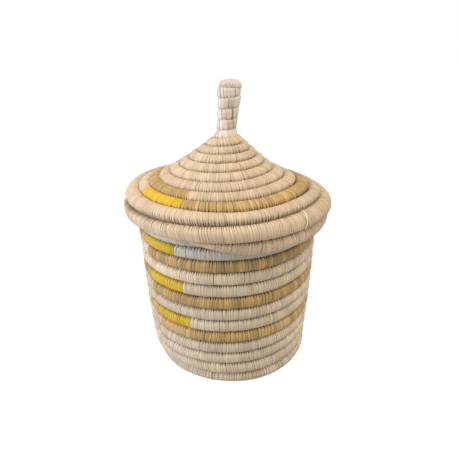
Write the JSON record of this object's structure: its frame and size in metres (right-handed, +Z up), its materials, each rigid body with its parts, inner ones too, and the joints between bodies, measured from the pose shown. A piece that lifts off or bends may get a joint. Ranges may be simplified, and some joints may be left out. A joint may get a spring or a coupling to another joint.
{
  "type": "lidded basket",
  "caption": "Round coiled raffia basket with a cone-shaped lid that lifts off by a tall coiled knob, in natural raffia with tan bands and yellow patches.",
  "frame": {"origin": "middle of the basket's foot, on the surface that it stands on", "axes": "+Z up through the knob, -Y towards the picture's front, +X to the picture's right"},
  "size_m": [0.1726, 0.1722, 0.2372],
  "materials": {
    "natural_raffia": "matt dry fibre",
    "pale_raffia": "matt dry fibre",
    "tan_raffia": "matt dyed fibre",
    "yellow_raffia": "matt dyed fibre"
  },
  "bodies": {
    "basket": {"bottom_coil": "natural_raffia", "foot_coil": "natural_raffia", "tan_band_1": "tan_raffia", "yellow_patch_1": "yellow_raffia", "lower_wall_coil": "natural_raffia", "tan_band_2": "tan_raffia", "yellow_patch_2": "yellow_raffia", "upper_wall_coil": "natural_raffia", "tan_band_3": "tan_raffia", "yellow_patch_3": "yellow_raffia", "rim_coil": "natural_raffia"},
    "lid": {"edge_coil": "natural_raffia", "brim_coil": "natural_raffia", "lid_yellow_patch": "yellow_raffia", "lid_tan_band": "tan_raffia", "cone_coil": "natural_raffia", "knob_coil": "natural_raffia", "knob_cap": "natural_raffia", "brim_strand": "pale_raffia"}
  },
  "joints": [
    {"name": "lid_lift", "type": "slide", "parent": "basket", "child": "lid", "axis": [0, 0, 1], "range_m": [0, 0.12]}
  ]
}
